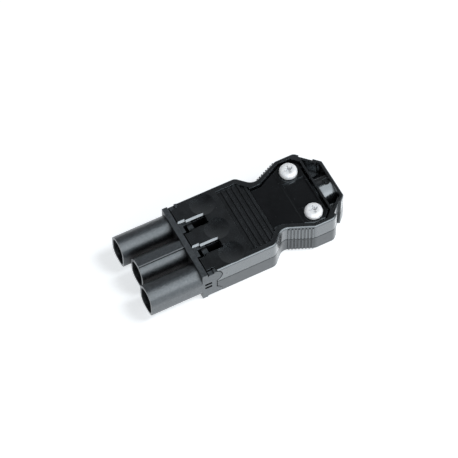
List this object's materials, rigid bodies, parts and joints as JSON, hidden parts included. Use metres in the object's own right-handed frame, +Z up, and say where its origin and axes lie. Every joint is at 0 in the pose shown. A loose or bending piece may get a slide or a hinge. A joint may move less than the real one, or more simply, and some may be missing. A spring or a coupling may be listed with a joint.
{
  "type": "appliance plug",
  "caption": "Male appliance plug for field wiring: flat waisted housing, shrouded contact pins and a screwed cable clamp at the rear.",
  "frame": {"origin": "on the plane that the plug lies on, under the middle of its overall length and width", "axes": "+X along the plug from the shroud tubes to the cable entry, +Z up through the cover and the clamp screws, +Y to the side of pole n"},
  "size_m": [0.0848, 0.034, 0.0166],
  "materials": {
    "housing_plastic": "fine spark-eroded texture, black",
    "carrier_plastic": "smooth satin, black",
    "clamp_plastic": "smooth, black",
    "contact_metal": "turned brass, bright",
    "spring_steel": "rolled strip",
    "zinc_steel": "bright zinc plated"
  },
  "bodies": {
    "plug": {"lower_housing": "housing_plastic", "upper_housing": "housing_plastic", "contact_carrier": "carrier_plastic", "contact_pin_l": "contact_metal", "contact_pin_pe": "contact_metal", "contact_pin_n": "contact_metal", "terminal_block_l": "contact_metal", "terminal_block_pe": "contact_metal", "terminal_block_n": "contact_metal", "wire_guard_l": "spring_steel", "wire_guard_pe": "spring_steel", "wire_guard_n": "spring_steel", "terminal_screw_l": "zinc_steel", "terminal_screw_pe": "zinc_steel", "terminal_screw_n": "zinc_steel"},
    "clamp": {"strain_relief_clamp": "clamp_plastic"},
    "left_screw": {"clamp_screw_left": "zinc_steel"},
    "right_screw": {"clamp_screw_right": "zinc_steel"}
  },
  "joints": [
    {"name": "clamp_travel", "type": "slide", "parent": "plug", "child": "clamp", "axis": [0, 0, 1], "range_m": [-0.003, 0]},
    {"name": "left_screw_turn", "type": "hinge", "parent": "clamp", "child": "left_screw", "pos_m": [0.0287, -0.01015, 0], "axis": [0, 0, 1], "range_deg": [-851, 0]},
    {"name": "right_screw_turn", "type": "hinge", "parent": "clamp", "child": "right_screw", "pos_m": [0.0287, 0.01015, 0], "axis": [0, 0, 1], "range_deg": [-851, 0]}
  ],
  "couplings": [
    {"joint": "left_screw_turn", "follows": "clamp_travel", "rad_per_m": 4947.4},
    {"joint": "right_screw_turn", "follows": "clamp_travel", "rad_per_m": 4947.4}
  ]
}
